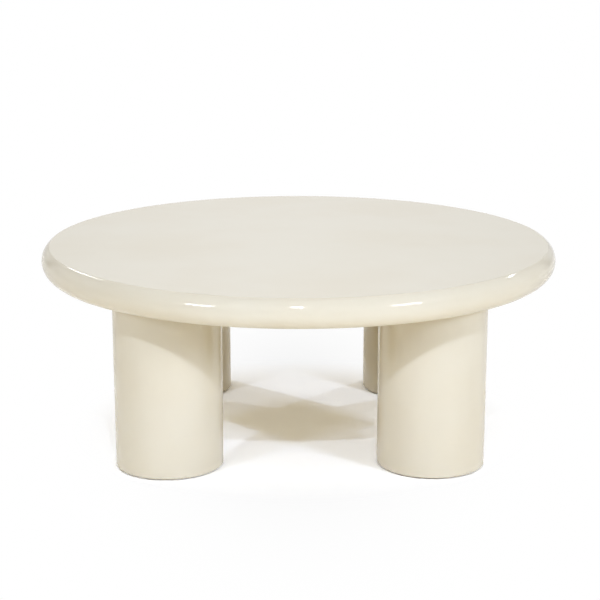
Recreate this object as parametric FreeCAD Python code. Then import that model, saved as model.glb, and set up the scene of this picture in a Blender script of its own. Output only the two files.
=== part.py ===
"""Round cocktail table: a bullnosed torsion-box top on four drum legs with levelling feet.

Millimetres, +Z up. The origin is on the floor under the middle of the top, and the legs stand
on the diagonals, so the table's front looks along -Y.
"""

import FreeCAD, Part
import math
import os

# The whole table
table_diameter = 1016.0
table_height = 381.0
top_thickness = 54.0
edge_crease = 31.0          # angle in degrees at which the rounded edge breaks from the flat faces
leg_diameter = 203.0
leg_overhang = 57.0         # from the edge of the top in to the outside of a leg
floor_gap = 3.0             # from the floor up to the bottom edge of a leg

# The top: two panels, a lapped rim between them, and ribs and blocks inside the rim
panel_thickness = 9.0
rim_width = 60.0
rim_segment_count = 8
rim_lap_length = 45.0
rib_thickness = 12.0
block_side = 150.0

# The legs: a bent shell round three discs
leg_wall = 9.0
leg_arris = 1.5             # bevel along a leg's bottom outer edge
leg_disc_thickness = 24.0
leg_former_thickness = 18.0
leg_former_width = 37.5     # of the ring half way up, from its outside in to its hole

# The bolt that screws a leg to the top
bolt_diameter = 10.0
bolt_length = 70.0
bolt_end_chamfer = 1.0
bolt_key_size = 5.0         # hexagon socket in the bolt's lower end, across its flats
bolt_key_depth = 6.0
bolt_tip_clearance = 4.0    # room left above the bolt's end inside the top
insert_diameter = 16.0
insert_length = 25.0
insert_key_size = 12.0
insert_key_depth = 8.0

# The pronged nuts pressed into the leg discs
leg_nut_flange_diameter = 26.0
leg_nut_flange_thickness = 1.8
leg_nut_barrel_diameter = 12.5
leg_nut_barrel_length = 13.0
foot_nut_flange_diameter = 24.0
foot_nut_flange_thickness = 1.6
foot_nut_barrel_diameter = 10.0
foot_nut_barrel_length = 9.5
prong_count = 4
prong_length = 7.0
prong_width = 4.0
prong_thickness = 1.4
prong_inset = 1.6           # from the flange's edge in to a prong

# The levelling feet
foot_pad_diameter = 60.0
foot_pad_height = 10.0
foot_pad_edge = 1.5         # bevel along the pad's bottom edge
foot_pad_draft = 1.0        # how much narrower the pad's top is, on the radius
foot_pocket_clearance = 3.0
foot_stop_gap = 0.4         # between the pad and its nut when it is screwed right in
stem_diameter = 8.0
stem_length = 40.0
stem_end_chamfer = 0.8
stem_head_diameter = 16.0
stem_head_height = 4.0
stem_head_cover = 3.0       # pad material under the stem's moulded-in head

# Clearances
glue_gap = 0.1              # between glued curved faces
lap_gap = 0.2               # round a cross-lapped slot
thread_gap = 0.05           # between a thread and its nut, on the radius
drill_gap = 0.25            # round a hole that is drilled clear, on the radius

# Places that follow from those sizes
table_radius = table_diameter / 2
crown_angle = math.radians(90.0 - edge_crease)
bullnose_radius = top_thickness / 2 / math.sin(crown_angle)
top_bottom = table_height - top_thickness
core_bottom = top_bottom + panel_thickness
core_top = table_height - panel_thickness
core_middle = (core_bottom + core_top) / 2
rim_inner_radius = table_radius - rim_width
inside_rim_radius = rim_inner_radius - glue_gap
leg_radius = leg_diameter / 2
leg_inner_radius = leg_radius - leg_wall
leg_circle_radius = table_radius - leg_overhang - leg_radius
leg_offset = leg_circle_radius / math.sqrt(2)
leg_bottom = floor_gap
leg_middle = (leg_bottom + top_bottom) / 2
top_disc_bottom = top_bottom - leg_disc_thickness
foot_pocket_depth = foot_pad_height - floor_gap + foot_stop_gap + foot_nut_flange_thickness
foot_pocket_top = leg_bottom + foot_pocket_depth
rib_pitch = leg_offset / 2
rib_steps = range(-3, 4)
block_rib_step = 2          # the ribs this many steps out run between two blocks
insert_bottom = core_bottom
bolt_top = insert_bottom + insert_length - bolt_end_chamfer

legs = {
    "front_left": (-leg_offset, -leg_offset),
    "front_right": (leg_offset, -leg_offset),
    "back_right": (leg_offset, leg_offset),
    "back_left": (-leg_offset, leg_offset),
}

Vector = FreeCAD.Vector
ORIGIN = Vector(0, 0, 0)
UP = Vector(0, 0, 1)


def line(start, end):
    """Straight edge in the XZ plane between two (radius, height) points."""
    return Part.LineSegment(Vector(start[0], 0, start[1]), Vector(end[0], 0, end[1])).toShape()


def outline(*points):
    """Straight edges through the (radius, height) points, in order."""
    return [line(a, b) for a, b in zip(points, points[1:])]


def arc(start, middle, end):
    """Round edge in the XZ plane through three (radius, height) points."""
    return Part.Arc(*[Vector(r, 0, z) for r, z in (start, middle, end)]).toShape()


def turned(edges, angle=360.0, start_angle=0.0):
    """Solid turned about the Z axis from a closed outline in the XZ plane."""
    solid = Part.Face(Part.Wire(edges)).revolve(ORIGIN, UP, angle)
    solid.rotate(ORIGIN, UP, start_angle)
    return solid


def round_bar(diameter, bottom, top):
    """Upright cylinder on the Z axis."""
    return Part.makeCylinder(diameter / 2, top - bottom, Vector(0, 0, bottom))


def chamfered_rod(diameter, bottom, top, chamfer):
    """Upright rod on the Z axis with both its ends chamfered."""
    radius = diameter / 2
    return turned(outline((0, bottom), (radius - chamfer, bottom), (radius, bottom + chamfer),
                          (radius, top - chamfer), (radius - chamfer, top), (0, top), (0, bottom)))


def hexagon_bar(across_flats, bottom, top):
    """Upright hexagonal bar on the Z axis."""
    corner = across_flats / math.sqrt(3)
    turns = [math.radians(60 * k) for k in range(7)]
    wire = Part.makePolygon([Vector(corner * math.cos(t), corner * math.sin(t), bottom) for t in turns])
    return Part.Face(wire).extrude(Vector(0, 0, top - bottom))


def centred_box(size_x, size_y, bottom, top, x=0.0, y=0.0):
    """Upright box centred on (x, y)."""
    return Part.makeBox(size_x, size_y, top - bottom, Vector(x - size_x / 2, y - size_y / 2, bottom))


def placed(shape, place):
    """Copy of a shape that stands on the Z axis, moved to the (x, y) place."""
    return shape.translated(Vector(place[0], place[1], 0))


# The top

def bullnose_point(angle):
    """(radius, height) on the rounded edge, at an angle in radians above its middle."""
    return (table_radius - bullnose_radius + bullnose_radius * math.cos(angle),
            core_middle + bullnose_radius * math.sin(angle))


def bullnose_arc(start_angle, end_angle):
    """Stretch of the rounded edge between two angles above its middle."""
    middle_angle = (start_angle + end_angle) / 2
    return arc(*[bullnose_point(a) for a in (start_angle, middle_angle, end_angle)])


seam_angle = math.asin((core_top - core_middle) / bullnose_radius)


def top_panel():
    """Upper face of the table, with its share of the rounded edge."""
    seam = bullnose_point(seam_angle)
    crown = bullnose_point(crown_angle)
    return turned(outline((0, core_top), seam)
                  + [bullnose_arc(seam_angle, crown_angle)]
                  + outline(crown, (0, table_height), (0, core_top)))


def underside_panel():
    """Lower face of the top, drilled where the legs' inserts go in."""
    seam = bullnose_point(-seam_angle)
    crown = bullnose_point(-crown_angle)
    panel = turned(outline((0, top_bottom), crown)
                   + [bullnose_arc(-crown_angle, -seam_angle)]
                   + outline(seam, (0, core_bottom), (0, top_bottom)))
    hole = round_bar(insert_diameter + 2 * drill_gap, top_bottom, core_bottom)
    return panel.cut([placed(hole, place) for place in legs.values()])


def rim_half(low_angle, high_angle, sweep, start_angle):
    """Half of the rim's height, between two bullnose angles, swept round part of the circle."""
    low = bullnose_point(low_angle)
    high = bullnose_point(high_angle)
    edges = outline(high, (rim_inner_radius, high[1]), (rim_inner_radius, low[1]), low)
    return turned(edges + [bullnose_arc(low_angle, high_angle)], sweep, start_angle)


def rim_segment(number):
    """One curved length of the rim, half-lapped over the next one at each end."""
    sweep = 360.0 / rim_segment_count
    lap_angle = math.degrees(rim_lap_length / (table_radius - rim_width / 2))
    start = number * sweep
    upper = rim_half(0, seam_angle, sweep, start)
    lower = rim_half(-seam_angle, 0, sweep, start + lap_angle)
    return upper.fuse(lower).removeSplitter()


def rib_reach(step):
    """Half the length of the rib that lies that many steps from the middle."""
    if abs(step) == block_rib_step:
        return leg_offset - block_side / 2 - glue_gap
    return math.sqrt(inside_rim_radius ** 2 - (step * rib_pitch) ** 2)


def ribs_cross(step, other):
    """Whether a rib that far out meets the rib of the other direction that far out."""
    return abs(other * rib_pitch) < rib_reach(step) and abs(step * rib_pitch) < rib_reach(other)


def rib(step, slot_bottom, slot_top):
    """Rib along X, that many steps out in Y, with slots where the other ribs cross it."""
    place = step * rib_pitch
    strip = centred_box(2 * rib_reach(step), rib_thickness, core_bottom, core_top, y=place)
    strip = strip.common(round_bar(2 * inside_rim_radius, core_bottom, core_top))
    slot_width = rib_thickness + 2 * lap_gap
    crossings = [other * rib_pitch for other in rib_steps if ribs_cross(step, other)]
    return strip.cut([centred_box(slot_width, slot_width, slot_bottom, slot_top, x, place)
                      for x in crossings])


def lengthwise_rib(step):
    """Rib along X, slotted from above."""
    return rib(step, core_middle - lap_gap / 2, core_top)


def crosswise_rib(step):
    """Rib along Y, slotted from below."""
    along_x = rib(step, core_bottom, core_middle + lap_gap / 2)
    return along_x.mirror(ORIGIN, Vector(1, -1, 0))


def leg_block(place):
    """Solid block over a leg, trimmed to the rim and bored for the insert and the bolt's end."""
    block = centred_box(block_side, block_side, core_bottom, core_top, *place)
    block = block.common(round_bar(2 * inside_rim_radius, core_bottom, core_top))
    seat = round_bar(insert_diameter + 2 * glue_gap, insert_bottom, insert_bottom + insert_length)
    tip = round_bar(bolt_diameter + 2 * drill_gap, insert_bottom, bolt_top + bolt_tip_clearance)
    return block.cut([placed(seat, place), placed(tip, place)])


# The legs

def leg_shell():
    """Bent barrel of a leg, bevelled along its bottom edge."""
    return turned(outline((leg_inner_radius, leg_bottom), (leg_radius - leg_arris, leg_bottom),
                          (leg_radius, leg_bottom + leg_arris), (leg_radius, top_bottom),
                          (leg_inner_radius, top_bottom), (leg_inner_radius, leg_bottom)))


def inner_disc(bottom, top):
    """Disc that the shell is bent round."""
    return round_bar(2 * (leg_inner_radius - glue_gap), bottom, top)


def leg_top_disc():
    """Disc in the top of a leg, with its nut pressed in from below and the bolt through it."""
    disc = inner_disc(top_disc_bottom, top_bottom)
    clear_hole = round_bar(bolt_diameter + 2 * drill_gap, top_disc_bottom, top_bottom)
    return disc.cut([clear_hole, *leg_nut_in_wood()])


def leg_former():
    """Ring half way up a leg that keeps its shell round."""
    bottom = leg_middle - leg_former_thickness / 2
    top = leg_middle + leg_former_thickness / 2
    hole_radius = leg_inner_radius - glue_gap - leg_former_width
    return inner_disc(bottom, top).cut(round_bar(2 * hole_radius, bottom, top))


def leg_base_disc():
    """Disc in the foot of a leg, with a pocket for the levelling foot and its pressed-in nut."""
    disc = inner_disc(leg_bottom, leg_bottom + leg_disc_thickness)
    pocket = round_bar(foot_pad_diameter + 2 * foot_pocket_clearance, leg_bottom, foot_pocket_top)
    stem_hole = round_bar(stem_diameter + 2 * drill_gap, leg_bottom, leg_bottom + leg_disc_thickness)
    return disc.cut([pocket, stem_hole, *foot_nut_in_wood()])


# The fastenings

def prongs(flange_diameter, base, gap=0.0):
    """Prongs that stand up from a nut's flange, each swollen by the gap."""
    centre = flange_diameter / 2 - prong_inset - prong_thickness / 2
    found = []
    for k in range(prong_count):
        prong = centred_box(prong_thickness + 2 * gap, prong_width + 2 * gap,
                            base, base + prong_length + gap, x=centre)
        prong.rotate(ORIGIN, UP, 360.0 * k / prong_count)
        found.append(prong)
    return found


def pronged_nut(thread_diameter, flange_diameter, flange_thickness, barrel_diameter, barrel_length, base):
    """Nut with its flange under the wood, whose face is at base, and its barrel and prongs in it."""
    flange = round_bar(flange_diameter, base - flange_thickness, base)
    barrel = round_bar(barrel_diameter, base, base + barrel_length)
    nut = flange.fuse([barrel, *prongs(flange_diameter, base)]).removeSplitter()
    thread = round_bar(thread_diameter + 2 * thread_gap, base - flange_thickness, base + barrel_length)
    return nut.cut(thread)


def leg_nut():
    """Nut under a leg's top disc that holds the bolt."""
    return pronged_nut(bolt_diameter, leg_nut_flange_diameter, leg_nut_flange_thickness,
                       leg_nut_barrel_diameter, leg_nut_barrel_length, top_disc_bottom)


def leg_nut_in_wood():
    """What a leg's nut presses out of the top disc."""
    barrel = round_bar(leg_nut_barrel_diameter + 2 * glue_gap,
                       top_disc_bottom, top_disc_bottom + leg_nut_barrel_length + glue_gap)
    return [barrel, *prongs(leg_nut_flange_diameter, top_disc_bottom, glue_gap)]


def foot_nut():
    """Nut over a levelling foot that its stem turns in."""
    return pronged_nut(stem_diameter, foot_nut_flange_diameter, foot_nut_flange_thickness,
                       foot_nut_barrel_diameter, foot_nut_barrel_length, foot_pocket_top)


def foot_nut_in_wood():
    """What a foot's nut presses out of the base disc."""
    barrel = round_bar(foot_nut_barrel_diameter + 2 * glue_gap,
                       foot_pocket_top, foot_pocket_top + foot_nut_barrel_length + glue_gap)
    return [barrel, *prongs(foot_nut_flange_diameter, foot_pocket_top, glue_gap)]


def top_insert():
    """Threaded insert in a block, with a hexagon socket in its mouth to drive it by."""
    insert = round_bar(insert_diameter, insert_bottom, insert_bottom + insert_length)
    thread = round_bar(bolt_diameter + 2 * thread_gap, insert_bottom, insert_bottom + insert_length)
    key = hexagon_bar(insert_key_size, insert_bottom, insert_bottom + insert_key_depth)
    return insert.cut([thread, key])


def leg_bolt():
    """Stud that joins a leg to the top, with a hexagon socket in its lower end."""
    bottom = bolt_top - bolt_length
    stud = chamfered_rod(bolt_diameter, bottom, bolt_top, bolt_end_chamfer)
    return stud.cut(hexagon_bar(bolt_key_size, bottom, bottom + bolt_key_depth))


# The levelling feet

def foot_stem():
    """Threaded stem of a levelling foot, with the head that the pad is moulded round."""
    bottom = stem_head_cover
    stem = chamfered_rod(stem_diameter, bottom, bottom + stem_length, stem_end_chamfer)
    return stem.fuse(hexagon_bar(stem_head_diameter, bottom, bottom + stem_head_height)).removeSplitter()


def foot_pad():
    """Moulded pad that stands on the floor, hollow where the stem's head sits in it."""
    radius = foot_pad_diameter / 2
    pad = turned(outline((0, 0), (radius - foot_pad_edge, 0), (radius, foot_pad_edge),
                         (radius - foot_pad_draft, foot_pad_height), (0, foot_pad_height), (0, 0)))
    head_top = stem_head_cover + stem_head_height
    head = hexagon_bar(stem_head_diameter + 2 * thread_gap,
                       stem_head_cover - thread_gap, head_top + thread_gap)
    neck = round_bar(stem_diameter + 2 * thread_gap, head_top, foot_pad_height)
    return pad.cut([head, neck])


def for_each_leg(shape):
    """The same fastening at every leg, as one group of separate solids."""
    return Part.makeCompound([placed(shape, place) for place in legs.values()])


def pieces():
    """Every piece of the table, by name."""
    made = {"top_panel": top_panel(), "underside_panel": underside_panel()}
    for number in range(rim_segment_count):
        made[f"rim_segment_{number + 1}"] = rim_segment(number)
    for number, step in enumerate(rib_steps, start=1):
        made[f"lengthwise_rib_{number}"] = lengthwise_rib(step)
        made[f"crosswise_rib_{number}"] = crosswise_rib(step)
    for leg, place in legs.items():
        made[f"leg_block_{leg}"] = leg_block(place)
        made[f"leg_shell_{leg}"] = placed(leg_shell(), place)
        made[f"leg_top_disc_{leg}"] = placed(leg_top_disc(), place)
        made[f"leg_former_{leg}"] = placed(leg_former(), place)
        made[f"leg_base_disc_{leg}"] = placed(leg_base_disc(), place)
        made[f"foot_stem_{leg}"] = placed(foot_stem(), place)
        made[f"foot_pad_{leg}"] = placed(foot_pad(), place)
    made["top_inserts"] = for_each_leg(top_insert())
    made["leg_bolts"] = for_each_leg(leg_bolt())
    made["leg_nuts"] = for_each_leg(leg_nut())
    made["foot_nuts"] = for_each_leg(foot_nut())
    return made


def main():
    os.makedirs("parts", exist_ok=True)
    for name, shape in pieces().items():
        shape.exportStep(os.path.join("parts", f"{name}.step"))
        print(f"{name}: {len(shape.Solids)} solid, {shape.Volume / 1000:.1f} cm3, valid {shape.isValid()}")


main()
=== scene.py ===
"""Looks of the round cocktail table: a gloss cream top and drum legs that stand on levelling feet.

Metres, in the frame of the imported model. The lacquered top, the leg barrels and the levelling feet are
modelled here over their CAD solids; the boards and fastenings inside keep their CAD meshes.
"""

import logging
import math
from dataclasses import dataclass
from enum import Enum
from functools import reduce
from typing import Any

import bmesh
import bpy
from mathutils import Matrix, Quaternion, Vector


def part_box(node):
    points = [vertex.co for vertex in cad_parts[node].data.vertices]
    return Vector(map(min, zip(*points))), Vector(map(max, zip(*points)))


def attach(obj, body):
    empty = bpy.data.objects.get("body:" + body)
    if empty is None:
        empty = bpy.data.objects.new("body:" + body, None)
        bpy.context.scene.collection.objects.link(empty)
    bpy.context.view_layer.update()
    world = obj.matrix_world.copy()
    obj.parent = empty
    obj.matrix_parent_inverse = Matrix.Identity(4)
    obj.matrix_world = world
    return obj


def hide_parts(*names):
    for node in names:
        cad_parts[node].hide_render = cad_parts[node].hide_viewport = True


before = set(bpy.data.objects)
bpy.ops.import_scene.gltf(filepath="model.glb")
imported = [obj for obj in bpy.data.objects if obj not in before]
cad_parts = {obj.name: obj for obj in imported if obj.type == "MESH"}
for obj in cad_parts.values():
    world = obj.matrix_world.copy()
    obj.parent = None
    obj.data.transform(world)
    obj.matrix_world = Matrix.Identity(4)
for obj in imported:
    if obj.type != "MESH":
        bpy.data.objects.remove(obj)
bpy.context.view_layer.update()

Colour = tuple[float, float, float, float]
Point = tuple[float, float, float]
Span = tuple[float, float]
Profile = list[tuple[float, float]]
Piece = bpy.types.Object
Finish = bpy.types.Material
Socket = bpy.types.NodeSocket
Tree = bpy.types.NodeTree

LOG = logging.getLogger("cocktail_table")
TABLE_BODY = "table"
MM = 0.001
# Points nearer than this are one point when a profile has been spun.
WELD = 0.002 * MM
WHITE: Colour = (1.0, 1.0, 1.0, 1.0)
# Tint of the lamps that model the form, cooler than the soft light from overhead.
COOL: Point = (0.867, 1.000, 1.284)


class Leg(Enum):
    """The four legs, named for the corner that each one stands at."""

    FRONT_LEFT = "front_left"
    FRONT_RIGHT = "front_right"
    BACK_RIGHT = "back_right"
    BACK_LEFT = "back_left"

    def place(self) -> Point:
        """Point on the floor under the middle of the leg."""
        low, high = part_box(f"leg_shell_{self.value}")
        return ((low.x + high.x) / 2, (low.y + high.y) / 2, 0.0)


class Slot(Enum):
    """The record's material slots."""

    CREAM_LACQUER = "cream_lacquer"
    RAW_BOARD = "raw_board"
    ZINC_STEEL = "zinc_steel"
    FOOT_NYLON = "foot_nylon"


Finishes = dict[Slot, Finish]


def srgb(*levels: int) -> Colour:
    """Linear colour of an 8-bit screen colour.

    Args:
        levels: red, green and blue, from 0 to 255.

    Returns:
        The colour as linear red, green, blue and an alpha of 1.
    """
    shares = [level / 255 for level in levels]
    linear = [s / 12.92 if s <= 0.04045 else ((s + 0.055) / 1.055) ** 2.4 for s in shares]
    return (*linear, 1.0)


def spaced(name: str) -> str:
    """Name of a socket, with a space for each _ of a keyword."""
    return name.replace("_", " ")


def arc_points(centre: Span, radius: float, start: float, end: float, steps: int) -> Profile:
    """Points along an arc of a profile, both ends among them.

    Args:
        centre: (radius, height) of the arc's centre.
        radius: the arc's own radius.
        start: first angle in degrees, from outwards towards up.
        end: last angle in degrees.
        steps: number of chords.

    Returns:
        The (radius, height) points in order.
    """
    turns = [math.radians(start + (end - start) * k / steps) for k in range(steps + 1)]
    return [(centre[0] + radius * math.cos(t), centre[1] + radius * math.sin(t)) for t in turns]


class Wiring:
    """A node tree with a short way to add and wire its nodes."""

    def __init__(self, tree: Tree) -> None:
        """Take the tree over and start with no nodes in it."""
        self.tree = tree
        self.tree.nodes.clear()

    def add(self, kind: str, wires: dict[Any, Any] | None = None, **settings: Any) -> bpy.types.Node:
        """Add one node.

        Args:
            kind: Blender's name of the node's type.
            wires: for an input, by name or number, its value or the socket that feeds it.
            settings: the node's own attributes.

        Returns:
            The new node.
        """
        node = self.tree.nodes.new(kind)
        for name, value in settings.items():
            setattr(node, name, value)
        for name, value in (wires or {}).items():
            self.feed(node.inputs[name], value)
        return node

    def first(self, kind: str, wires: dict[Any, Any] | None = None, **settings: Any) -> Socket:
        """Add one node, as above, and take its first result."""
        return self.add(kind, wires, **settings).outputs[0]

    def feed(self, socket: Socket, value: Any) -> None:
        """Give an input its value.

        Args:
            socket: the input.
            value: a plain value, or the socket that the input is linked to.
        """
        if isinstance(value, Socket):
            self.tree.links.new(value, socket)
        else:
            socket.default_value = value

    def give(self, node: bpy.types.Node, **values: Any) -> None:
        """Give a node's inputs, named with _ for a space, their values."""
        for name, value in values.items():
            self.feed(node.inputs[spaced(name)], value)

    def math(self, operation: str, *values: Any, clamp: bool = False) -> Socket:
        """Result of a Math node for numbers and sockets, held between 0 and 1 where it is clamped."""
        return self.first("ShaderNodeMath", dict(enumerate(values)), operation=operation, use_clamp=clamp)

    def times(self, *values: Any) -> Socket:
        """Product of two or more numbers and sockets."""
        return reduce(lambda product, value: self.math("MULTIPLY", product, value), values)

    def reach(self, x: Socket, y: Socket) -> Socket:
        """Distance of a place from the middle, level with the floor."""
        return self.math("SQRT", self.math("ADD", self.times(x, x), self.times(y, y)))

    def ramp(self, value: Any, low: float, high: float, to_low: float = 0.0,
             to_high: float = 1.0) -> Socket:
        """Value that is spread smoothly from the range low, high over the range to_low, to_high."""
        wires = {"Value": value, "From Min": low, "From Max": high, "To Min": to_low, "To Max": to_high}
        return self.first("ShaderNodeMapRange", wires, interpolation_type="SMOOTHSTEP")

    def bell(self, value: Socket, spread: float) -> Socket:
        """Bell curve that is 1 where the value is 0 and falls off over the spread."""
        share = self.math("DIVIDE", value, spread)
        return self.math("EXPONENT", self.times(share, share, -0.5))

    def mix(self, share: Any, first: Any, second: Any) -> Socket:
        """Mix of two colours that has that share of the second."""
        node = self.add("ShaderNodeMix", {0: share, 6: first, 7: second}, data_type="RGBA")
        return node.outputs[2]

    def noise(self, point: Socket, waves: Any, detail: float, roughness: float = 0.5) -> Socket:
        """Noise at a point, with that many waves to the metre and that many finer layers."""
        wires = {"Vector": point, "Scale": waves, "Detail": detail, "Roughness": roughness}
        return self.add("ShaderNodeTexNoise", wires).outputs["Fac"]

    def axes(self, vector: Any) -> tuple[Socket, Socket, Socket]:
        """Sockets of a vector's X, Y and Z."""
        parts = self.add("ShaderNodeSeparateXYZ", {"Vector": vector}).outputs
        return (parts["X"], parts["Y"], parts["Z"])

    def object_point(self) -> Socket:
        """Place on the piece, in the frame's metres."""
        return self.add("ShaderNodeTexCoord").outputs["Object"]


class GroupWiring(Wiring):
    """A node group with named sockets."""

    def __init__(self, name: str, tree_type: str) -> None:
        """Start an empty group of that type."""
        super().__init__(bpy.data.node_groups.new(name, tree_type))

    def inputs(self, **kinds: str) -> dict[str, Socket]:
        """Args:
            kinds: the socket type of each input, named with _ for a space.

        Returns:
            The sockets inside the group that carry the inputs, by the same names.
        """
        for name, kind in kinds.items():
            self.tree.interface.new_socket(spaced(name), in_out="INPUT", socket_type=f"NodeSocket{kind}")
        entry = self.add("NodeGroupInput")
        return {name: entry.outputs[spaced(name)] for name in kinds}

    def outputs(self, **results: tuple[str, Socket]) -> Tree:
        """Args:
            results: for each output, its socket type and the socket that feeds it.

        Returns:
            The finished group.
        """
        for name, (kind, _) in results.items():
            self.tree.interface.new_socket(spaced(name), in_out="OUTPUT", socket_type=f"NodeSocket{kind}")
        end = self.add("NodeGroupOutput")
        for name, (_, source) in results.items():
            self.feed(end.inputs[spaced(name)], source)
        return self.tree


class SharedEffects:
    """Shader groups that several finishes use, each built once."""

    DRIFT_RANGE: Span = (0.28, 0.72)
    SCUFF_RANGE: Span = (0.50, 0.68)
    FINE_TO_BROAD = 6.0

    def __init__(self) -> None:
        """Build the groups."""
        self.tone_drift = self._tone_drift()
        self.skin_relief = self._skin_relief()
        self.foot_scuff = self._foot_scuff()

    def _tone_drift(self) -> Tree:
        """Group that wanders slowly between two tones of one colour.

        Returns:
            The group, with a Colour and a Mask.
        """
        wiring = GroupWiring("tone_drift", "ShaderNodeTree")
        given = wiring.inputs(Point="Vector", Waves="Float", Light="Color", Deep="Color")
        noise = wiring.noise(given["Point"], given["Waves"], detail=3.0, roughness=0.55)
        mask = wiring.ramp(noise, *self.DRIFT_RANGE)
        colour = wiring.mix(mask, given["Light"], given["Deep"])
        return wiring.outputs(Colour=("Color", colour), Mask=("Float", mask))

    def _skin_relief(self) -> Tree:
        """Group for the fine unevenness of a sprayed, moulded or rolled skin.

        Returns:
            The group, with a Height.
        """
        wiring = GroupWiring("skin_relief", "ShaderNodeTree")
        given = wiring.inputs(Point="Vector", Waves="Float", Grain="Float")
        broad = wiring.noise(given["Point"], given["Waves"], detail=1.0, roughness=0.4)
        fine_waves = wiring.times(given["Waves"], self.FINE_TO_BROAD)
        fine = wiring.noise(given["Point"], fine_waves, detail=2.0, roughness=0.6)
        height = wiring.math("ADD", broad, wiring.times(fine, given["Grain"]))
        return wiring.outputs(Height=("Float", height))

    def _foot_scuff(self) -> Tree:
        """Group for the light scuffs that shoes and brooms leave just above the floor.

        Returns:
            The group, with a Mask.
        """
        wiring = GroupWiring("foot_scuff", "ShaderNodeTree")
        given = wiring.inputs(Point="Vector", Reach="Float", Waves="Float")
        height = wiring.axes(given["Point"])[2]
        nearness = wiring.ramp(wiring.math("DIVIDE", height, given["Reach"]), 0.0, 1.0, 1.0, 0.0)
        noise = wiring.noise(given["Point"], given["Waves"], detail=5.0, roughness=0.7)
        mask = wiring.times(nearness, wiring.ramp(noise, *self.SCUFF_RANGE))
        return wiring.outputs(Mask=("Float", mask))


@dataclass(frozen=True)
class Look:
    """What every finish has: two tones that it drifts between, and the relief of its skin."""

    light: Colour
    deep: Colour
    drift_waves: float
    skin_waves: float
    skin_grain: float
    skin_depth: float


class FinishWiring(Wiring):
    """The node tree of one finish, with its shader, its drift of tone and its skin wired."""

    def __init__(self, name: str, look: Look, effects: SharedEffects) -> None:
        """Make the material and what every finish has.

        Args:
            name: the material's name.
            look: the finish.
            effects: the shared shader groups.
        """
        self.material = bpy.data.materials.new(name)
        self.material.use_nodes = True
        super().__init__(self.material.node_tree)
        self.surface = self.add("ShaderNodeBsdfPrincipled")
        self.add("ShaderNodeOutputMaterial", {"Surface": self.surface.outputs["BSDF"]})
        self.point = self.object_point()
        self.drift = self.effect(effects.tone_drift, Waves=look.drift_waves, Light=look.light,
                                 Deep=look.deep)
        skin = self.effect(effects.skin_relief, Waves=look.skin_waves, Grain=look.skin_grain)
        bump = self.first("ShaderNodeBump", {"Height": skin["Height"], "Distance": look.skin_depth,
                                             "Strength": 1.0})
        self.give(self.surface, Normal=bump)

    def effect(self, group: Tree, **values: Any) -> bpy.types.NodeOutputs:
        """Place a shared effect.

        Args:
            group: the shader group.
            values: its inputs, as values or sockets.

        Returns:
            The sockets that come out of the group.
        """
        node = self.add("ShaderNodeGroup", node_tree=group)
        self.give(node, Point=self.point, **values)
        return node.outputs


@dataclass(frozen=True)
class CreamLacquer(Look):
    """Gloss cream lacquer, polished all over but for a satin underside, and scuffed at the very foot."""

    light: Colour = srgb(229, 221, 202)
    deep: Colour = srgb(226, 216, 194)
    scuffed: Colour = srgb(204, 195, 176)
    drift_waves: float = 3.5
    polish: float = 0.045
    haze: float = 0.070
    satin: float = 0.34
    satin_band: Span = (2 * MM, 0.2 * MM)
    satin_facing: Span = (-0.85, -0.97)
    scuff_roughness: float = 0.25
    scuff_reach: float = 12 * MM
    scuff_waves: float = 120.0
    skin_waves: float = 210.0
    skin_grain: float = 0.12
    skin_depth: float = 0.006 * MM
    refraction: float = 1.5

    def material(self, effects: SharedEffects, underside: float) -> Finish:
        """Make the finish.

        Args:
            effects: the shared shader groups.
            underside: height of the top's underside.

        Returns:
            The material.
        """
        wiring = FinishWiring("gloss_cream_lacquer", self, effects)
        scuff = wiring.effect(effects.foot_scuff, Reach=self.scuff_reach, Waves=self.scuff_waves)
        colour = wiring.mix(scuff["Mask"], wiring.drift["Colour"], self.scuffed)
        facing_up = wiring.axes(wiring.add("ShaderNodeNewGeometry").outputs["Normal"])[2]
        height = wiring.axes(wiring.point)[2]
        low_side = wiring.ramp(height, *(underside + step for step in self.satin_band))
        under = wiring.times(low_side, wiring.ramp(facing_up, *self.satin_facing))
        polished = wiring.ramp(wiring.drift["Mask"], 0.0, 1.0, self.polish, self.haze)
        rubbed = wiring.math("MULTIPLY_ADD", scuff["Mask"], self.scuff_roughness, polished)
        rough = wiring.math("MAXIMUM", rubbed, wiring.times(under, self.satin))
        wiring.give(wiring.surface, Base_Color=colour, Roughness=rough, IOR=self.refraction)
        return wiring.material


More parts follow.
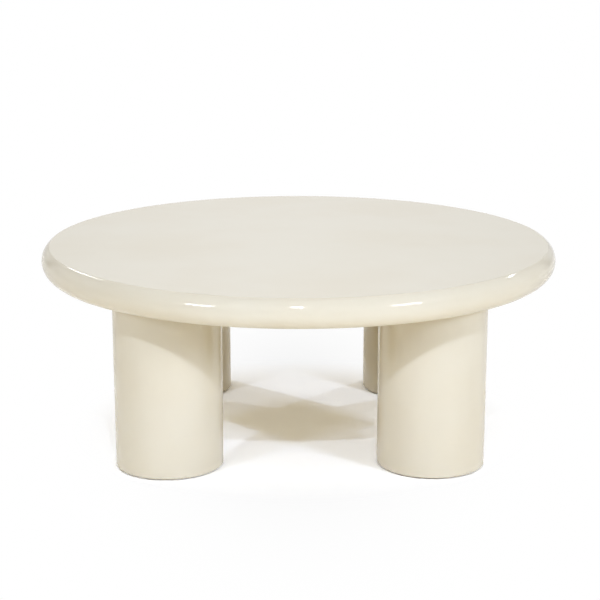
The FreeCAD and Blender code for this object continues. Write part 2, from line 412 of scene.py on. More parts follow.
@dataclass(frozen=True)
class RawBoard(Look):
    """Fibreboard as it is sawn, with cream overspray round the edge of each leg's foot."""

    light: Colour = srgb(189, 154, 112)
    deep: Colour = srgb(166, 130, 90)
    fibre: Colour = srgb(120, 88, 58)
    overspray: Colour = srgb(222, 214, 196)
    drift_waves: float = 9.0
    fibre_waves: float = 700.0
    fibre_stretch: Point = (1.0, 0.35, 1.0)
    fibre_range: Span = (0.52, 0.70)
    fibre_share: float = 0.55
    spray_band: Span = (30 * MM, 6 * MM)
    spray_fringe: float = 3 * MM
    spray_height: Span = (6 * MM, 3.5 * MM)
    roughness: float = 0.86
    fibre_roughness: float = 0.94
    skin_waves: float = 450.0
    skin_grain: float = 0.6
    skin_depth: float = 0.25 * MM
    shine: float = 0.25

    def material(self, effects: SharedEffects, leg_place: Point, disc_radius: float) -> Finish:
        """Make the finish.

        Args:
            effects: the shared shader groups.
            leg_place: middle of the leg that has both coordinates positive.
            disc_radius: radius of the disc in a leg's foot.

        Returns:
            The material.
        """
        wiring = FinishWiring("raw_fibreboard", self, effects)
        along = wiring.add("ShaderNodeMapping", {"Vector": wiring.point, "Scale": self.fibre_stretch})
        fibres = wiring.noise(along.outputs["Vector"], self.fibre_waves, detail=4.0, roughness=0.7)
        flecks = wiring.ramp(fibres, *self.fibre_range)
        wood = wiring.mix(wiring.times(flecks, self.fibre_share), wiring.drift["Colour"], self.fibre)
        x, y, z = wiring.axes(wiring.point)
        across = [wiring.math("SUBTRACT", wiring.math("ABSOLUTE", value), middle)
                  for value, middle in zip((x, y), leg_place)]
        ragged = wiring.math("ADD", wiring.reach(*across), wiring.times(flecks, self.spray_fringe))
        ring = wiring.ramp(ragged, *(disc_radius - step for step in self.spray_band))
        spray = wiring.times(ring, wiring.ramp(z, *self.spray_height))
        colour = wiring.mix(spray, wood, self.overspray)
        rough = wiring.ramp(flecks, 0.0, 1.0, self.roughness, self.fibre_roughness)
        wiring.give(wiring.surface, Base_Color=colour, Roughness=rough, Specular_IOR_Level=self.shine)
        return wiring.material


@dataclass(frozen=True)
class ZincSteel(Look):
    """Zinc-plated steel, faintly straw-toned, with fine handling marks."""

    light: Colour = srgb(196, 199, 200)
    deep: Colour = srgb(184, 180, 166)
    dull: Colour = srgb(150, 150, 148)
    drift_waves: float = 60.0
    mark_waves: float = 900.0
    mark_stretch: Point = (1.0, 1.0, 0.15)
    mark_range: Span = (0.48, 0.72)
    mark_share: float = 0.6
    roughness: float = 0.30
    dull_roughness: float = 0.52
    skin_waves: float = 800.0
    skin_grain: float = 0.4
    skin_depth: float = 0.03 * MM

    def material(self, effects: SharedEffects) -> Finish:
        """Make the finish.

        Args:
            effects: the shared shader groups.

        Returns:
            The material.
        """
        wiring = FinishWiring("zinc_plated_steel", self, effects)
        along = wiring.add("ShaderNodeMapping", {"Vector": wiring.point, "Scale": self.mark_stretch})
        marks = wiring.noise(along.outputs["Vector"], self.mark_waves, detail=3.0)
        dulling = wiring.ramp(marks, *self.mark_range)
        colour = wiring.mix(wiring.times(dulling, self.mark_share), wiring.drift["Colour"], self.dull)
        rough = wiring.ramp(dulling, 0.0, 1.0, self.roughness, self.dull_roughness)
        wiring.give(wiring.surface, Base_Color=colour, Roughness=rough, Metallic=1.0)
        return wiring.material


@dataclass(frozen=True)
class FootNylon(Look):
    """Dark moulded nylon with a spark-eroded skin, rubbed paler where it stands on the floor."""

    light: Colour = srgb(62, 56, 49)
    deep: Colour = srgb(50, 45, 40)
    rubbed: Colour = srgb(112, 104, 92)
    drift_waves: float = 70.0
    rub_reach: float = 2.5 * MM
    rub_waves: float = 260.0
    roughness: float = 0.55
    rubbed_roughness: float = 0.72
    skin_waves: float = 1400.0
    skin_grain: float = 0.5
    skin_depth: float = 0.06 * MM
    refraction: float = 1.53

    def material(self, effects: SharedEffects) -> Finish:
        """Make the finish.

        Args:
            effects: the shared shader groups.

        Returns:
            The material.
        """
        wiring = FinishWiring("moulded_foot_nylon", self, effects)
        rub = wiring.effect(effects.foot_scuff, Reach=self.rub_reach, Waves=self.rub_waves)
        colour = wiring.mix(rub["Mask"], wiring.drift["Colour"], self.rubbed)
        rough = wiring.ramp(rub["Mask"], 0.0, 1.0, self.roughness, self.rubbed_roughness)
        wiring.give(wiring.surface, Base_Color=colour, Roughness=rough, IOR=self.refraction)
        return wiring.material


def make_finishes() -> Finishes:
    """Make every finish once.

    Returns:
        The materials by slot.
    """
    effects = SharedEffects()
    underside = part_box("underside_panel")[0].z
    low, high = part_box("leg_base_disc_back_right")
    disc_radius = (high.x - low.x) / 2
    return {
        Slot.CREAM_LACQUER: CreamLacquer().material(effects, underside),
        Slot.RAW_BOARD: RawBoard().material(effects, Leg.BACK_RIGHT.place(), disc_radius),
        Slot.ZINC_STEEL: ZincSteel().material(effects),
        Slot.FOOT_NYLON: FootNylon().material(effects),
    }


class ShapeTrees:
    """Geometry Nodes trees for the turned, fluted and threaded pieces, each built once."""

    SPINDLE_RADIUS = 10 * MM
    THREAD_CREST = 1.1
    THREAD_FLANK = 1.2
    LEAD_CUT = 0.1 * MM
    HEAD_SIDES = 6

    def __init__(self) -> None:
        """Build the trees."""
        self.turned = self._turned()
        self.fluted = self._fluted()
        self.threaded = self._threaded()

    @staticmethod
    def _end(wiring: GroupWiring, mesh: Socket, given: dict[str, Socket]) -> Tree:
        """End a tree: shade it smooth, put it in its place, realize it and give it its finish.

        Args:
            wiring: the tree's wiring.
            mesh: the mesh so far, on the Z axis.
            given: the tree's inputs, with its Place and its Material.

        Returns:
            The finished tree.
        """
        smooth = wiring.first("GeometryNodeSetShadeSmooth", {"Geometry": mesh})
        moved = wiring.first("GeometryNodeTransform", {"Geometry": smooth, "Translation": given["Place"]})
        real = wiring.first("GeometryNodeRealizeInstances", {"Geometry": moved})
        done = wiring.first("GeometryNodeSetMaterial", {"Geometry": real, "Material": given["Material"]})
        return wiring.outputs(Geometry=("Geometry", done))

    def _spun(self, wiring: Wiring, given: dict[str, Socket]) -> Socket:
        """Spin the profile that comes in about the Z axis.

        Args:
            wiring: the tree's wiring.
            given: the tree's inputs.

        Returns:
            The closed mesh.
        """
        profile = wiring.first("GeometryNodeMeshToCurve", {"Mesh": given["Geometry"]})
        spindle = wiring.first("GeometryNodeCurvePrimitiveCircle",
                               {"Resolution": given["Facets"], "Radius": self.SPINDLE_RADIUS})
        upright = wiring.first("GeometryNodeSetCurveNormal", {"Curve": spindle}, mode="Z_UP")
        swept = wiring.first("GeometryNodeCurveToMesh", {"Curve": upright, "Profile Curve": profile})
        return wiring.first("GeometryNodeMergeByDistance", {"Geometry": swept, "Distance": given["Weld"]})

    @staticmethod
    def _standing(wiring: Wiring, height: Socket, **shape: Any) -> Socket:
        """Cylinder that stands on the level of the origin.

        Args:
            wiring: the tree's wiring.
            height: how high it is.
            shape: its other inputs, named with _ for a space.

        Returns:
            The mesh.
        """
        cylinder = wiring.add("GeometryNodeMeshCylinder", {"Depth": height})
        wiring.give(cylinder, **shape)
        rise = wiring.first("ShaderNodeCombineXYZ", {"Z": wiring.times(height, 0.5)})
        return wiring.first("GeometryNodeTransform", {"Geometry": cylinder.outputs[0],
                                                      "Translation": rise})

    def _turned(self) -> Tree:
        """Tree that turns a profile into a round piece.

        Returns:
            The tree.
        """
        wiring = GroupWiring("turned_piece", "GeometryNodeTree")
        given = wiring.inputs(Geometry="Geometry", Facets="Int", Weld="Float", Place="Vector",
                              Material="Material")
        return self._end(wiring, self._spun(wiring, given), given)

    def _fluted(self) -> Tree:
        """Tree that turns a profile and cuts finger flutes into its outer edge.

        Returns:
            The tree.
        """
        wiring = GroupWiring("fluted_pad", "GeometryNodeTree")
        given = wiring.inputs(Geometry="Geometry", Facets="Int", Weld="Float", Flutes="Int",
                              Flute_Depth="Float", Flute_Start="Float", Flute_End="Float",
                              Place="Vector", Material="Material")
        mesh = self._spun(wiring, given)
        x, y, z = wiring.axes(wiring.first("GeometryNodeInputPosition"))
        reach = wiring.reach(x, y)
        turn = wiring.times(wiring.math("ARCTAN2", y, x), given["Flutes"])
        wave = wiring.math("MULTIPLY_ADD", wiring.math("COSINE", turn), 0.5, 0.5)
        span = wiring.math("SUBTRACT", given["Flute_End"], given["Flute_Start"])
        past_start = wiring.math("SUBTRACT", reach, given["Flute_Start"])
        outer = wiring.math("DIVIDE", past_start, span, clamp=True)
        cut = wiring.times(wave, outer, given["Flute_Depth"])
        cut_share = wiring.math("DIVIDE", cut, wiring.math("MAXIMUM", reach, MM))
        shrink = wiring.math("SUBTRACT", 1.0, cut_share)
        moved = wiring.first("ShaderNodeCombineXYZ", {"X": wiring.times(x, shrink),
                                                      "Y": wiring.times(y, shrink), "Z": z})
        fluted = wiring.first("GeometryNodeSetPosition", {"Geometry": mesh, "Position": moved})
        return self._end(wiring, fluted, given)

    def _threaded(self) -> Tree:
        """Tree for a threaded rod with a hexagon head at its foot.

        Returns:
            The tree.
        """
        wiring = GroupWiring("threaded_stem", "GeometryNodeTree")
        given = wiring.inputs(Facets="Int", Rows="Int", Root_Radius="Float", Thread_Depth="Float",
                              Pitch="Float", Length="Float", Head_Radius="Float", Head_Height="Float",
                              Place="Vector", Material="Material")
        rod = self._standing(wiring, given["Length"], Vertices=given["Facets"],
                             Side_Segments=given["Rows"], Radius=given["Root_Radius"])
        x, y, z = wiring.axes(wiring.first("GeometryNodeInputPosition"))
        angle = wiring.math("ARCTAN2", y, x)
        climb = wiring.math("SUBTRACT", wiring.math("DIVIDE", z, given["Pitch"]),
                            wiring.math("DIVIDE", angle, 2 * math.pi))
        saw = wiring.math("MULTIPLY_ADD", wiring.math("FRACT", climb), 2.0, -1.0)
        flank = wiring.times(wiring.math("ABSOLUTE", saw), self.THREAD_FLANK)
        ridge = wiring.math("SUBTRACT", self.THREAD_CREST, flank, clamp=True)
        radius = wiring.math("MULTIPLY_ADD", ridge, given["Thread_Depth"], given["Root_Radius"])
        to_end = wiring.math("SUBTRACT", given["Length"], z)
        lead = wiring.math("ADD", wiring.math("SUBTRACT", given["Root_Radius"], self.LEAD_CUT), to_end)
        radius = wiring.math("MINIMUM", radius, lead)
        moved = wiring.first("ShaderNodeCombineXYZ",
                             {"X": wiring.times(wiring.math("COSINE", angle), radius),
                              "Y": wiring.times(wiring.math("SINE", angle), radius), "Z": z})
        thread = wiring.first("GeometryNodeSetPosition", {"Geometry": rod, "Position": moved})
        head = self._standing(wiring, given["Head_Height"], Vertices=self.HEAD_SIDES,
                              Radius=given["Head_Radius"])
        both = wiring.add("GeometryNodeJoinGeometry")
        for mesh in (thread, head):
            wiring.feed(both.inputs[0], mesh)
        return self._end(wiring, both.outputs[0], given)


def grown(name: str, start: bpy.types.Mesh, tree: Tree, values: dict[str, Any], crease: float) -> Piece:
    """Grow a piece from a Geometry Nodes tree and keep it as a plain mesh.

    Args:
        name: the piece's name.
        start: the mesh that goes into the tree.
        tree: the Geometry Nodes tree.
        values: the tree's inputs by name.
        crease: edges sharper than this angle, in degrees, are shaded sharp.

    Returns:
        The piece, at the origin, with no modifier on it.
    """
    piece = bpy.data.objects.new(name, start)
    bpy.context.scene.collection.objects.link(piece)
    grower = piece.modifiers.new("shape", "NODES")
    grower.node_group = tree
    for item in tree.interface.items_tree:
        if item.item_type == "SOCKET" and item.in_out == "INPUT" and item.name in values:
            grower[item.identifier] = values[item.name]
    evaluated = piece.evaluated_get(bpy.context.evaluated_depsgraph_get())
    mesh = bpy.data.meshes.new_from_object(evaluated)
    piece.modifiers.remove(grower)
    piece.data = mesh
    mesh.name = name
    bpy.data.meshes.remove(start)
    outward = bmesh.new()
    outward.from_mesh(mesh)
    bmesh.ops.recalc_face_normals(outward, faces=outward.faces)
    outward.to_mesh(mesh)
    outward.free()
    mesh.set_sharp_from_angle(angle=math.radians(crease))
    return piece


def profile_mesh(points: Profile, closed: bool) -> bpy.types.Mesh:
    """Make the chain of edges that a turned piece is spun from.

    Args:
        points: (radius, height) points in order.
        closed: whether the last point joins the first.

    Returns:
        The mesh, laid out as the turning trees read it.
    """
    flat = [(radius - ShapeTrees.SPINDLE_RADIUS, -height, 0.0) for radius, height in points]
    count = len(flat)
    edges = [(k, (k + 1) % count) for k in range(count if closed else count - 1)]
    mesh = bpy.data.meshes.new("profile")
    mesh.from_pydata(flat, edges, [])
    return mesh


@dataclass
class TableTop:
    """The round top: one lacquered body over the panels and the rim, creased where its edge rounds off."""

    trees: ShapeTrees
    finishes: Finishes
    facets: int = 360
    edge_crease: float = 31.0
    crease_ease: float = 1.5 * MM
    edge_steps: int = 40
    ease_steps: int = 5
    flat_margin: float = 2 * MM
    flat_rings: int = 4
    rim_segments: int = 8
    sharp_from: float = 40.0

    def replaced(self) -> list[str]:
        """CAD nodes that the lacquered body stands for."""
        return ["top_panel", "underside_panel",
                *(f"rim_segment_{number + 1}" for number in range(self.rim_segments))]

    def profile(self) -> Profile:
        """Outline from the middle of the upper face, round the edge, to the middle of the underside.

        Returns:
            The (radius, height) points in order.
        """
        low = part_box("underside_panel")[0]
        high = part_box("top_panel")[1]
        outer = max(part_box(node)[1].x for node in self.replaced())
        half, ease = (high.z - low.z) / 2, self.crease_ease
        bullnose = half / math.cos(math.radians(self.edge_crease))
        centre = (outer - bullnose, low.z + half)
        lean = math.degrees(math.acos((half - ease) / (bullnose - ease)))
        crown = centre[0] + (bullnose - ease) * math.sin(math.radians(lean))
        upper = arc_points((crown, high.z - ease), ease, 90.0, 90.0 - lean, self.ease_steps)
        edge = arc_points(centre, bullnose, 90.0 - lean, lean - 90.0, self.edge_steps)
        lower = arc_points((crown, low.z + ease), ease, lean - 90.0, -90.0, self.ease_steps)
        rings = [(crown - self.flat_margin) * k / self.flat_rings for k in range(self.flat_rings + 1)]
        return [*((r, high.z) for r in rings), *upper, *edge[1:-1], *lower,
                *((r, low.z) for r in reversed(rings))]

    def dress(self) -> list[Piece]:
        """Turn the top and tie it to the frame.

        Returns:
            The pieces made.
        """
        piece = grown("tabletop", profile_mesh(self.profile(), closed=False), self.trees.turned,
                      {"Facets": self.facets, "Place": (0.0, 0.0, 0.0), "Weld": WELD,
                       "Material": self.finishes[Slot.CREAM_LACQUER]}, self.sharp_from)
        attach(piece, TABLE_BODY)
        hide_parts(*self.replaced())
        return [piece]


@dataclass
class LegBarrel:
    """The lacquered barrel of one leg, eased along its bottom edge and at the joint with the top."""

    leg: Leg
    trees: ShapeTrees
    finishes: Finishes
    facets: int = 160
    wall: float = 9 * MM
    arris: float = 1.5 * MM
    arris_steps: int = 6
    joint_ease: float = 0.6 * MM
    joint_steps: int = 4
    sharp_from: float = 40.0

    def profile(self) -> Profile:
        """Outline of the barrel's wall, from inside its foot round to inside its top.

        Returns:
            The (radius, height) points in order.
        """
        low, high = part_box(f"leg_shell_{self.leg.value}")
        outer = (high.x - low.x) / 2
        inner = outer - self.wall
        arris, ease = self.arris, self.joint_ease
        foot = arc_points((outer - arris, low.z + arris), arris, -90.0, 0.0, self.arris_steps)
        head = arc_points((outer - ease, high.z - ease), ease, 0.0, 90.0, self.joint_steps)
        return [(inner, low.z), *foot, *head, (inner, high.z)]

    def dress(self) -> list[Piece]:
        """Turn the barrel in its place and tie it to the frame.

        Returns:
            The pieces made.
        """
        start = profile_mesh(self.profile(), closed=True)
        piece = grown(f"leg_barrel_{self.leg.value}", start, self.trees.turned,
                      {"Facets": self.facets, "Place": self.leg.place(), "Weld": WELD,
                       "Material": self.finishes[Slot.CREAM_LACQUER]}, self.sharp_from)
        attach(piece, TABLE_BODY)
        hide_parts(f"leg_shell_{self.leg.value}")
        return [piece]


@dataclass
class LevellingFoot:
    """The foot under one leg: a moulded pad with finger flutes on a threaded stem."""

    leg: Leg
    trees: ShapeTrees
    finishes: Finishes
    pad_facets: int = 240
    pad_sharp_from: float = 38.0
    flutes: int = 40
    flute_depth: float = 0.7 * MM
    flute_margins: Span = (3.2 * MM, 1.6 * MM)
    bottom_edge: float = 1.5 * MM
    bottom_steps: int = 5
    top_edge: float = 0.8 * MM
    top_steps: int = 4
    draft: float = 1.0 * MM
    sole_grooves: int = 4
    groove_depth: float = 0.7 * MM
    groove_width: float = 1.6 * MM
    groove_taper: float = 0.6
    stem_facets: int = 20
    stem_sharp_from: float = 50.0
    stem_radius: float = 4.0 * MM
    thread_depth: float = 0.65 * MM
    thread_pitch: float = 1.25 * MM
    rows_per_turn: int = 5
    head_across: float = 16.0 * MM
    head_height: float = 4.0 * MM
    moulding_gap: float = 0.05 * MM

    def head_radius(self) -> float:
        """Distance from the middle of the hexagon head to its corners."""
        return self.head_across / math.sqrt(3)

    def pad_profile(self) -> Profile:
        """Outline of the pad, from the middle of its sole round to the pocket for the stem's head.

        Returns:
            The (radius, height) points in order.
        """
        low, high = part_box(f"foot_pad_{self.leg.value}")
        radius = (high.x - low.x) / 2
        top, bottom = high.z, low.z
        points: Profile = [(0.0, bottom)]
        half, deep = self.groove_width / 2, bottom + self.groove_depth
        for number in range(self.sole_grooves):
            middle = radius * (number + 1.0) / (self.sole_grooves + 1.0)
            points += [(middle - half, bottom), (middle - half * self.groove_taper, deep),
                       (middle + half * self.groove_taper, deep), (middle + half, bottom)]
        points += arc_points((radius - self.bottom_edge, bottom + self.bottom_edge), self.bottom_edge,
                             -90.0, 0.0, self.bottom_steps)
        points += arc_points((radius - self.draft - self.top_edge, top - self.top_edge), self.top_edge,
                             0.0, 90.0, self.top_steps)
        neck = self.stem_radius + self.moulding_gap
        head = self.head_radius() + self.moulding_gap
        head_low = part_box(f"foot_stem_{self.leg.value}")[0].z
        roof, floor = head_low + self.head_height + self.moulding_gap, head_low - self.moulding_gap
        return [*points, (neck, top), (neck, roof), (head, roof), (head, floor), (0.0, floor)]

    def build_pad(self) -> Piece:
        """Turn the pad and flute its edge.

        Returns:
            The pad.
        """
        low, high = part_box(f"foot_pad_{self.leg.value}")
        flute_start, flute_end = ((high.x - low.x) / 2 - margin for margin in self.flute_margins)
        start = profile_mesh(self.pad_profile(), closed=False)
        return grown(f"levelling_pad_{self.leg.value}", start, self.trees.fluted,
                     {"Facets": self.pad_facets, "Place": self.leg.place(), "Weld": WELD,
                      "Flutes": self.flutes, "Flute Depth": self.flute_depth,
                      "Flute Start": flute_start, "Flute End": flute_end,
                      "Material": self.finishes[Slot.FOOT_NYLON]}, self.pad_sharp_from)

    def build_stem(self) -> Piece:
        """Cut the stem's thread and put the head on its foot.

        Returns:
            The stem.
        """
        low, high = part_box(f"foot_stem_{self.leg.value}")
        length = high.z - low.z
        x, y, _ = self.leg.place()
        return grown(f"levelling_stem_{self.leg.value}", bpy.data.meshes.new("blank"), self.trees.threaded,
                     {"Facets": self.stem_facets,
                      "Rows": round(length / self.thread_pitch) * self.rows_per_turn,
                      "Root Radius": self.stem_radius - self.thread_depth,
                      "Thread Depth": self.thread_depth, "Pitch": self.thread_pitch, "Length": length,
                      "Head Radius": self.head_radius(), "Head Height": self.head_height,
                      "Place": (x, y, low.z), "Material": self.finishes[Slot.ZINC_STEEL]},
                     self.stem_sharp_from)

    def dress(self) -> list[Piece]:
        """Build the pad and the stem and tie them to the frame.

        Returns:
            The pieces made.
        """
        pad, stem = self.build_pad(), self.build_stem()
        for piece, node, slot in ((pad, "foot_pad", Slot.FOOT_NYLON), (stem, "foot_stem", Slot.ZINC_STEEL)):
            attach(piece, f"leveller_{self.leg.value}")
            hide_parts(f"{node}_{self.leg.value}")
        return [pad, stem]


@dataclass
class InnerWork:
    """The boards and fastenings inside, which keep their CAD meshes and get finishes of their own."""

    finishes: Finishes
    board_words: tuple[str, ...] = ("rib", "block", "disc", "former")
    steel_words: tuple[str, ...] = ("insert", "bolt", "nut")

    def slot_of(self, node: str) -> Slot | None:
        """Slot that a CAD node's finish comes from.

        Args:
            node: the node's name.

        Returns:
            The slot, or none for a node that is replaced.
        """
        words = node.split("_")
        if any(word.startswith(self.steel_words) for word in words):
            return Slot.ZINC_STEEL
        return Slot.RAW_BOARD if any(word in self.board_words for word in words) else None

    def dress(self) -> list[Piece]:
        """Give each inner node its finish.

        Returns:
            The nodes that were dressed.
        """
        dressed = []
        for name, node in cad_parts.items():
            slot = self.slot_of(name)
            if slot is None:
                continue
            if not node.material_slots:
                node.data.materials.append(None)
            for place in node.material_slots:
                place.material = self.finishes[slot]
            dressed.append(node)
        return dressed


class LampJob(Enum):
    """What a lamp does: model the form with its light, or only show as a glint in the gloss."""

    FORM = "form"
    GLINT = "glint"


@dataclass(frozen=True)
class StudioLamp:
    """One lamp: a small round one, or a soft box where it has a width and a height."""

    name: str
    place: Point
    watts: float
    box: Span | None = None
    job: LampJob = LampJob.FORM
    tint: Point = (1.0, 1.0, 1.0)
    roll: float = 0.0
    radius: float = 0.025
    target: Point = (0.0, 0.0, 0.3)

    def build(self) -> None:
        """Hang the lamp, and turn a soft box towards the table."""
        light = bpy.data.lights.new(self.name, "AREA" if self.box else "POINT")
        light.energy = self.watts
        light.color = self.tint
        if self.box:
            light.shape = "RECTANGLE"
            light.size, light.size_y = self.box
        else:
            light.shadow_soft_size = self.radius
        lamp = bpy.data.objects.new(self.name, light)
        lamp.location = self.place
        aim = Vector(self.target) - Vector(self.place)
        turned = aim.to_track_quat("-Z", "Y") @ Quaternion((0.0, 0.0, 1.0), math.radians(self.roll))
        lamp.rotation_euler = turned.to_euler()
        lamp.visible_camera = False
        lamp.visible_glossy = self.job is LampJob.GLINT
        lamp.visible_diffuse = self.job is LampJob.FORM
        bpy.context.scene.collection.objects.link(lamp)


@dataclass(frozen=True)
class Studio:
    """The pale floor, the white surroundings, the lamps and the camera."""

    lamps: tuple[StudioLamp, ...] = (
        StudioLamp("key", (0.05, -2.45, 2.07), 82.0, tint=COOL),
        StudioLamp("back_left", (-2.68, 2.55, 2.54), 153.2, tint=COOL),
        StudioLamp("back_right", (2.50, 2.80, 2.68), 102.6, tint=COOL),
        StudioLamp("front_left", (-3.41, -3.75, 2.33), 58.7, (0.8, 1.2), tint=COOL),
        StudioLamp("front_right", (3.60, -3.55, 2.32), 105.5, (0.8, 1.2), tint=COOL),
        StudioLamp("front_left_glint", (-3.09, -3.42, 2.13), 32.0, (1.05, 0.54), LampJob.GLINT),
        StudioLamp("front_right_glint", (3.26, -3.24, 2.12), 32.0, (1.05, 0.54), LampJob.GLINT),
        StudioLamp("key_glint", (-0.05, -2.45, 1.93), 6.0, (0.2, 0.32), LampJob.GLINT),
        StudioLamp("back_left_glint", (-2.72, 2.53, 2.74), 9.0, (1.5, 0.2), LampJob.GLINT, roll=45.0),
        StudioLamp("back_right_glint", (3.14, 2.25, 2.83), 5.0, (0.65, 0.2), LampJob.GLINT),
    )
    overhead_light: Colour = (0.648, 0.584, 0.427, 1.0)
    low_light: Colour = (0.088, 0.068, 0.027, 1.0)
    sweep_spread: float = 9.5
    side_level: float = 0.66
    slot_turn: float = 36.0
    slot_spread: float = 3.2
    slot_depth: float = 0.55
    slot_fade: Span = (14.0, 24.0)
    front_fall: Span = (78.0, 125.0)
    front_lean: float = 8.0
    high_fall: Span = (18.0, 36.0)
    high_level: float = 0.3
    floor_radius: float = 9.0
    floor_facets: int = 96
    floor_colour: Colour = srgb(238, 237, 235)
    floor_grain: Colour = srgb(236, 235, 233)
    floor_warm: Colour = srgb(238, 230, 212)
    floor_waves: float = 30.0
    floor_exposure: float = 1.55
    floor_bounce: float = 1.15
    floor_gloss: float = 1.3
    floor_far_gloss: float = 0.84
    floor_front: Span = (-2.3, -1.0)
    floor_front_level: float = 0.12
    floor_haze: float = 0.10
    # Painted shadow: a soft darker patch between the legs, in the white that the camera sees on the floor.
    painted_shadow_reach: Span = (0.14, 0.37)
    painted_shadow_middle: float = 0.12
    painted_shadow_depth: float = 0.115
    shadow_reach: float = 0.27
    white_reach: float = 0.46
    contact_reach: Span = (0.102, 0.115)
    gloss_reach: Span = (0.6, 1.3)
    camera_distance: float = 3.0846
    camera_height: float = 1.0184
    camera_turn: float = -0.0134
    camera_pitch: float = 13.880
    sensor_width: float = 36.0
    lens: float = 94.58
    shift_x: float = 0.0025
    sight: float = 100.0

    def gloss_level(self, wiring: Wiring) -> Socket:
        """How bright the surroundings show in a gloss.

        They are a lit sweep behind with a dark slot at each side of it, dimmer sides, and little in front
        or above.

        Args:
            wiring: the world's wiring.

        Returns:
            The level's socket.
        """
        x, y, z = wiring.axes(wiring.add("ShaderNodeTexCoord").outputs["Generated"])
        turn = wiring.math("DEGREES", wiring.math("ARCTAN2", x, y))
        rise = wiring.math("DEGREES", wiring.math("ARCSINE", z))
        sweep = wiring.math("MULTIPLY_ADD", wiring.bell(turn, self.sweep_spread), 1.0 - self.side_level,
                            self.side_level)
        from_slot = wiring.math("SUBTRACT", wiring.math("ABSOLUTE", turn), self.slot_turn)
        slot = wiring.times(wiring.bell(from_slot, self.slot_spread),
                            wiring.ramp(rise, *self.slot_fade, self.slot_depth, 0.0))
        lean = wiring.math("ABSOLUTE", wiring.math("ADD", turn, self.front_lean))
        behind = wiring.ramp(lean, *self.front_fall, 1.0, 0.0)
        low = wiring.ramp(rise, *self.high_fall, 1.0, self.high_level)
        lit = wiring.times(sweep, wiring.math("SUBTRACT", 1.0, slot))
        return wiring.times(lit, behind, low)

    def build_world(self) -> None:
        """Make the surroundings: white to look at, dimmer in a gloss, and softer as a light."""
        world = bpy.data.worlds.new("white_surroundings")
        world.use_nodes = True
        wiring = Wiring(world.node_tree)
        path = wiring.add("ShaderNodeLightPath").outputs
        clear = wiring.math("MAXIMUM", path["Is Camera Ray"], path["Is Transmission Ray"])
        white = wiring.first("ShaderNodeBackground", {"Color": WHITE, "Strength": 1.0})
        level = self.gloss_level(wiring)
        gloss = wiring.first("ShaderNodeBackground", {"Color": WHITE, "Strength": level})
        rise = wiring.axes(wiring.add("ShaderNodeTexCoord").outputs["Generated"])[2]
        light = wiring.mix(wiring.math("MAXIMUM", rise, 0.0), self.low_light, self.overhead_light)
        soft = wiring.first("ShaderNodeBackground", {"Color": light, "Strength": 1.0})
        lit = wiring.first("ShaderNodeMixShader", {0: path["Is Glossy Ray"], 1: soft, 2: gloss})
        both = wiring.first("ShaderNodeMixShader", {0: clear, 1: lit, 2: white})
        wiring.add("ShaderNodeOutputWorld", {"Surface": both})
        bpy.context.scene.world = world

    def floor_material(self) -> Finish:
        """Matt pale floor that takes the table's shadow, with a painted shadow between the legs, and goes
        over into white round about.

        Returns:
            The material.
        """
        material = bpy.data.materials.new("pale_floor")
        material.use_nodes = True
        wiring = Wiring(material.node_tree)
        path = wiring.add("ShaderNodeLightPath").outputs
        camera, glossy = path["Is Camera Ray"], path["Is Glossy Ray"]
        clear = wiring.math("MAXIMUM", camera, path["Is Transmission Ray"])
        point = wiring.object_point()
        pale = wiring.mix(wiring.noise(point, self.floor_waves, detail=4.0),
                          self.floor_colour, self.floor_grain)
        colour = wiring.mix(wiring.math("MAXIMUM", camera, glossy), self.floor_warm, pale)
        direct = wiring.math("MULTIPLY_ADD", camera, self.floor_exposure - self.floor_bounce,
                             self.floor_bounce)
        exposure = wiring.math("MULTIPLY_ADD", glossy, self.floor_gloss - self.floor_bounce, direct)
        shown = wiring.first("ShaderNodeVectorMath", {0: colour, "Scale": exposure}, operation="SCALE")
        matt = wiring.first("ShaderNodeBsdfDiffuse", {"Color": shown, "Roughness": 0.0})
        aside, depth, _ = wiring.axes(point)
        far = wiring.ramp(depth, *self.floor_front, self.floor_front_level, self.floor_far_gloss)
        # Painted shadow of the table: the white that the camera sees is dimmed in a soft patch between the
        # legs.
        from_middle = wiring.math("SUBTRACT", depth, self.painted_shadow_middle)
        painted_shadow_patch = wiring.times(wiring.bell(aside, self.painted_shadow_reach[0]),
                                    wiring.bell(from_middle, self.painted_shadow_reach[1]))
        painted_shadow_level = wiring.math("MULTIPLY_ADD", painted_shadow_patch, -self.painted_shadow_depth, 1.0)
        # Emission strength: white with the painted shadow for the camera, the far floor in a gloss.
        bright = wiring.math("MAXIMUM", wiring.times(clear, painted_shadow_level), far)
        white = wiring.first("ShaderNodeEmission", {"Color": WHITE, "Strength": bright})
        reach = wiring.add("ShaderNodeVectorMath", {0: point}, operation="LENGTH").outputs["Value"]
        fade = wiring.ramp(reach, self.shadow_reach, self.white_reach, self.floor_haze, 1.0)
        seen = wiring.times(clear, wiring.times(fade, self.off_the_legs(wiring, point)))
        mirrored = wiring.times(glossy, wiring.ramp(reach, *self.gloss_reach))
        share = wiring.math("MAXIMUM", seen, mirrored)
        both = wiring.first("ShaderNodeMixShader", {0: share, 1: matt, 2: white})
        wiring.add("ShaderNodeOutputMaterial", {"Surface": both})
        return material

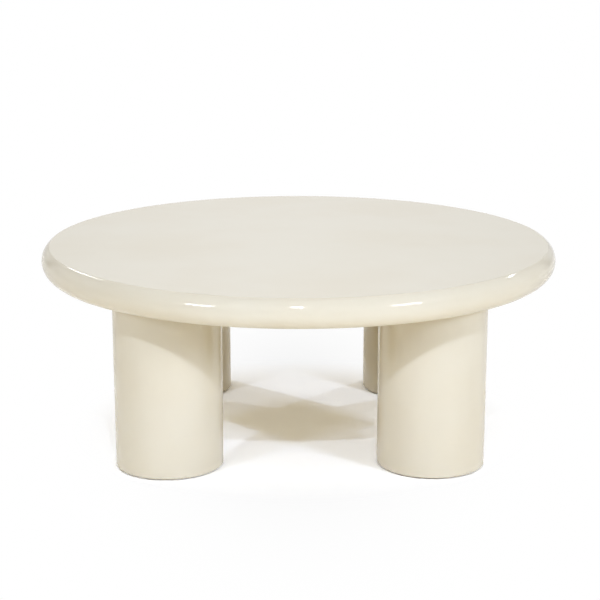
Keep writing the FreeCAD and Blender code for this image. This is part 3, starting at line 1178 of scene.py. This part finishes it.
    def off_the_legs(self, wiring: Wiring, point: Socket) -> Socket:
        """Mask that is 0 under the legs, where the contact shadow stays, and 1 away from them.

        Args:
            wiring: the floor's wiring.
            point: place on the floor.

        Returns:
            The mask's socket.
        """
        leg = Leg.BACK_RIGHT.place()
        folded = wiring.first("ShaderNodeVectorMath", {0: point}, operation="ABSOLUTE")
        away = wiring.add("ShaderNodeVectorMath", {0: folded, 1: leg}, operation="DISTANCE")
        return wiring.ramp(away.outputs["Value"], *self.contact_reach)

    def build_floor(self) -> None:
        """Lay the floor."""
        mesh = bpy.data.meshes.new("studio_floor")
        disc = bmesh.new()
        bmesh.ops.create_circle(disc, cap_ends=True, radius=self.floor_radius, segments=self.floor_facets)
        disc.to_mesh(mesh)
        disc.free()
        mesh.materials.append(self.floor_material())
        floor = bpy.data.objects.new("studio_floor", mesh)
        bpy.context.scene.collection.objects.link(floor)

    def build_camera(self) -> None:
        """Set the camera up at the photograph's viewing angle."""
        view = bpy.data.cameras.new("studio_camera")
        view.sensor_width = self.sensor_width
        view.lens = self.lens
        view.shift_x = self.shift_x
        view.clip_end = self.sight
        camera = bpy.data.objects.new("studio_camera", view)
        camera.location = (self.camera_distance * math.sin(self.camera_turn),
                           -self.camera_distance * math.cos(self.camera_turn), self.camera_height)
        camera.rotation_euler = (math.radians(90.0 - self.camera_pitch), 0.0, self.camera_turn)
        bpy.context.scene.collection.objects.link(camera)
        bpy.context.scene.camera = camera

    def build(self) -> None:
        """Put the studio round the table."""
        self.build_world()
        self.build_floor()
        for lamp in self.lamps:
            lamp.build()
        self.build_camera()
        bpy.context.scene.view_settings.view_transform = "Standard"


def main() -> None:
    """Build the table's pieces in order, dress what is inside it and put the studio round it."""
    logging.basicConfig(level=logging.INFO, format="%(name)s: %(message)s")
    finishes = make_finishes()
    trees = ShapeTrees()
    parts: list[TableTop | LegBarrel | LevellingFoot | InnerWork] = [TableTop(trees, finishes)]
    parts += [LegBarrel(leg, trees, finishes) for leg in Leg]
    parts += [LevellingFoot(leg, trees, finishes) for leg in Leg]
    parts.append(InnerWork(finishes))
    for part in parts:
        for piece in part.dress():
            LOG.info("%s: %d faces", piece.name, len(piece.data.polygons))
    Studio().build()


if __name__ == "__main__":
    main()
